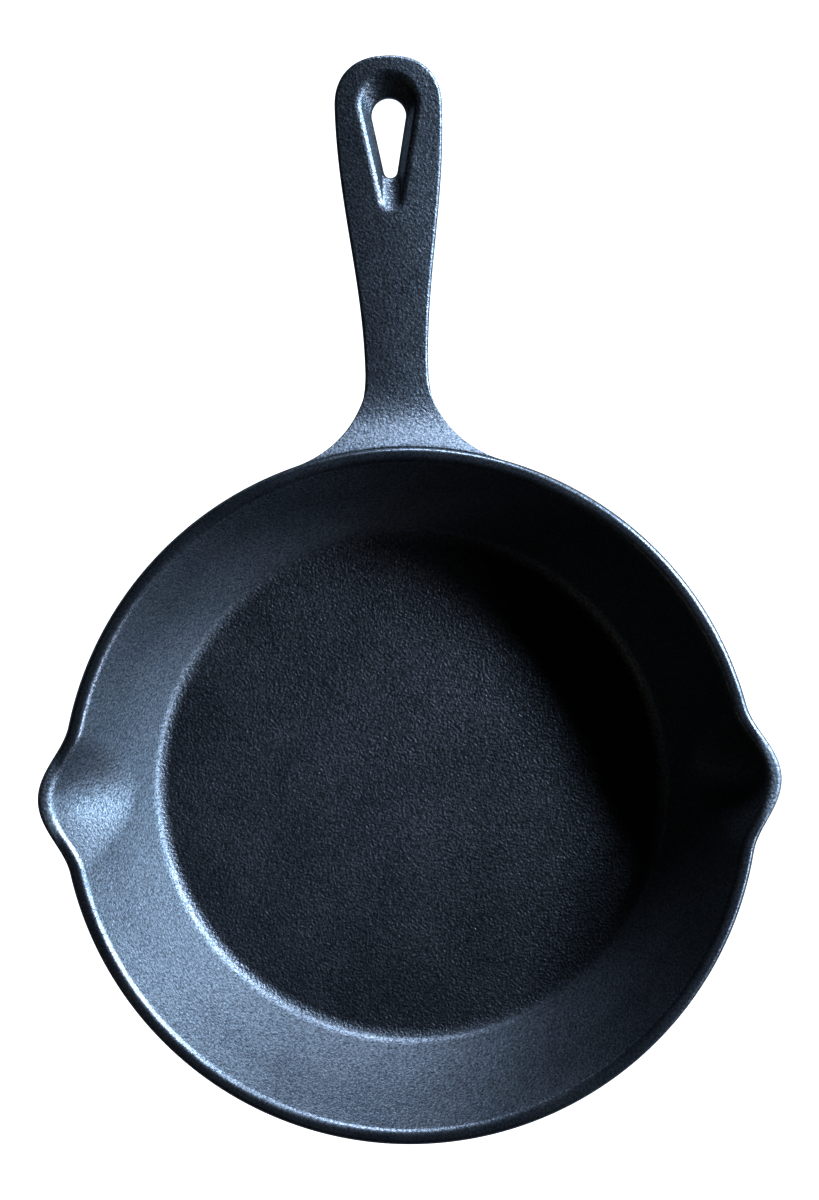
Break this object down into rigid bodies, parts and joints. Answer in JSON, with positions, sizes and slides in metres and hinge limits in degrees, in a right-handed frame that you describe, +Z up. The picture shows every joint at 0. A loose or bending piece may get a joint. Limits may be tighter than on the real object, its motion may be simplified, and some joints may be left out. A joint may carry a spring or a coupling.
{
  "type": "cast iron skillet",
  "caption": "Round cast iron skillet with sloping walls, a pour spout at each side and an integral flat handle that ends in a teardrop hanging hole.",
  "frame": {"origin": "centre of the flat base, on the plane that it rests on", "axes": "+Z up, +Y along the handle from the pan to the hanging hole, +X and -X through the pour spouts"},
  "size_m": [0.2138, 0.3138, 0.044],
  "materials": {
    "seasoned_cast_iron": "seasoned, near black, satin with a fine pebbled sand-cast grain"
  },
  "bodies": {
    "root": {"skillet_casting": "seasoned_cast_iron"}
  },
  "joints": []
}
